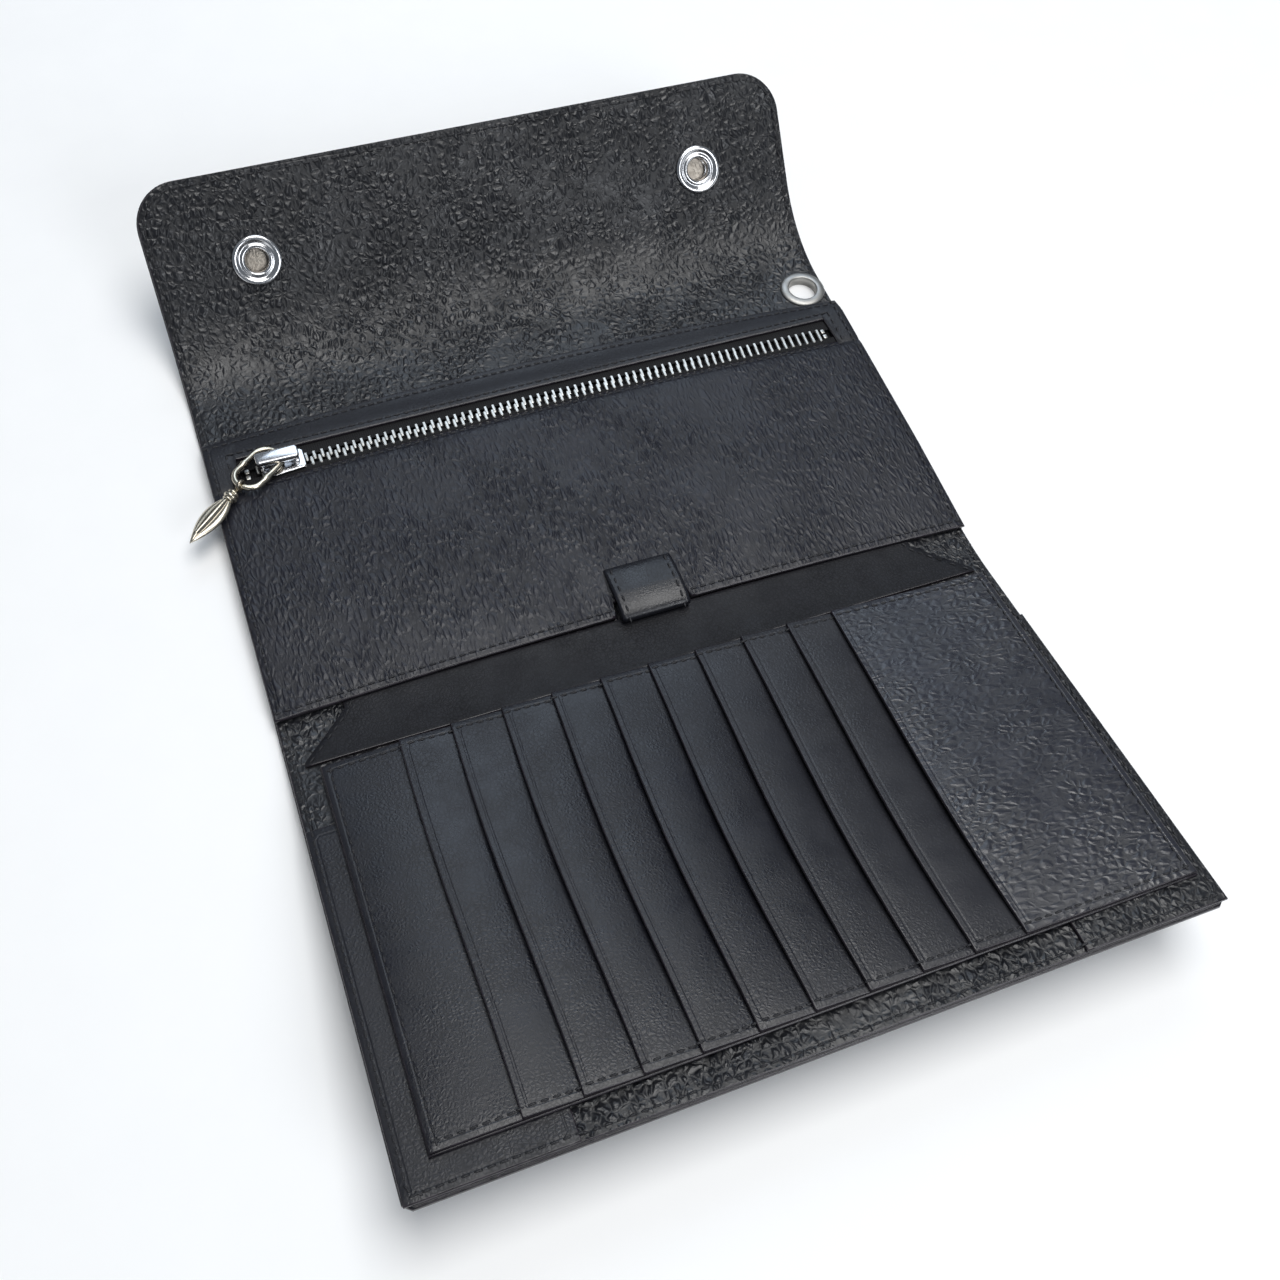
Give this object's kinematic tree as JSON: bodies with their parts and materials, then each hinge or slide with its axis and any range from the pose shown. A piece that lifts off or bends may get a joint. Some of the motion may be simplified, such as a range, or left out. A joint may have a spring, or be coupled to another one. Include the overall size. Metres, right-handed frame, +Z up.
{
  "type": "chain wallet",
  "caption": "Folding leather snap wallet shown open, with a leaf of card slots, a zipped coin pocket with a hanging pull, a pen loop, a snap flap and a chain eyelet.",
  "frame": {"origin": "centre of the middle panel's underside, where it lies on the table", "axes": "+X along the folds towards the eyelet side, +Y from the card panel towards the flap, +Z up out of the open wallet"},
  "size_m": [0.2029, 0.2774, 0.0403],
  "materials": {
    "shell_leather": "semi-gloss",
    "grained_leather": "pebbled semi-gloss",
    "smooth_leather": "smooth semi-gloss",
    "black_cloth": "woven",
    "zip_metal": "satin",
    "bright_metal": "polished",
    "nickel": "satin",
    "antique_silver": "aged polish"
  },
  "bodies": {
    "middle_panel": {"shell_back": "shell_leather", "liner_back": "grained_leather", "pocket_lining": "black_cloth", "pocket_rim": "shell_leather", "pocket_face": "grained_leather", "zip_band": "smooth_leather", "tape_upper": "black_cloth", "tape_lower": "black_cloth", "teeth_upper": "zip_metal", "teeth_lower": "zip_metal", "zip_stops": "zip_metal", "pen_loop": "smooth_leather", "eyelet_barrel": "nickel", "eyelet_washer": "nickel"},
    "spine": {"shell_spine": "shell_leather", "liner_spine": "grained_leather", "spine_tab": "smooth_leather"},
    "card_panel": {"shell_front": "shell_leather", "liner_front": "grained_leather", "underlay_left": "smooth_leather", "underlay_right": "smooth_leather", "snap_studs": "bright_metal", "stud_rivets": "bright_metal"},
    "card_leaf": {"leaf_backing": "smooth_leather", "card_first": "smooth_leather", "card_1": "smooth_leather", "card_2": "smooth_leather", "card_3": "smooth_leather", "card_4": "smooth_leather", "card_5": "smooth_leather", "card_6": "smooth_leather", "card_7": "smooth_leather", "card_8": "smooth_leather", "card_9": "smooth_leather", "card_wide": "smooth_leather"},
    "top_strip": {"shell_strip": "shell_leather", "liner_strip": "grained_leather"},
    "flap": {"shell_flap": "shell_leather", "liner_flap": "grained_leather", "snap_sockets": "bright_metal", "snap_caps": "bright_metal"},
    "slider": {"slider_body": "bright_metal", "slider_crown": "bright_metal"},
    "pull": {"pull_ring": "antique_silver"},
    "pendant": {"pendant_eye": "antique_silver", "pendant_drop": "antique_silver"}
  },
  "joints": [
    {"name": "spine_fold", "type": "hinge", "parent": "middle_panel", "child": "spine", "pos_m": [0, -0.05455, 0.0012], "axis": [-1, 0, 0], "range_deg": [-3, 83.5]},
    {"name": "card_panel_fold", "type": "hinge", "parent": "spine", "child": "card_panel", "pos_m": [0, -0.06611, 0.00221], "axis": [-1, 0, 0], "range_deg": [-3, 83.5]},
    {"name": "strip_fold", "type": "hinge", "parent": "middle_panel", "child": "top_strip", "pos_m": [0, 0.05455, 0.0012], "axis": [1, 0, 0], "range_deg": [-16, 54]},
    {"name": "flap_fold", "type": "hinge", "parent": "top_strip", "child": "flap", "pos_m": [0, 0.07465, 0.01015], "axis": [1, 0, 0], "range_deg": [-24, 81]},
    {"name": "leaf_lift", "type": "hinge", "parent": "card_panel", "child": "card_leaf", "pos_m": [0, -0.06895, 0.00622], "axis": [1, 0, 0], "range_deg": [-120, 0]},
    {"name": "zip_slide", "type": "slide", "parent": "middle_panel", "child": "slider", "axis": [1, 0, 0], "range_m": [0, 0.155]},
    {"name": "pull_swing", "type": "hinge", "parent": "slider", "child": "pull", "pos_m": [-0.0813, 0.02495, 0.0069], "axis": [0, 0, 1], "range_deg": [-45, 12]},
    {"name": "pendant_swing", "type": "hinge", "parent": "pull", "child": "pendant", "pos_m": [-0.08956, 0.01777, 0.00799], "axis": [0.6561, -0.7547, 0], "range_deg": [-80, 0]}
  ],
  "couplings": [
    {"joint": "card_panel_fold", "follows": "spine_fold", "ratio": 1},
    {"joint": "flap_fold", "follows": "strip_fold", "ratio": 1.5}
  ]
}
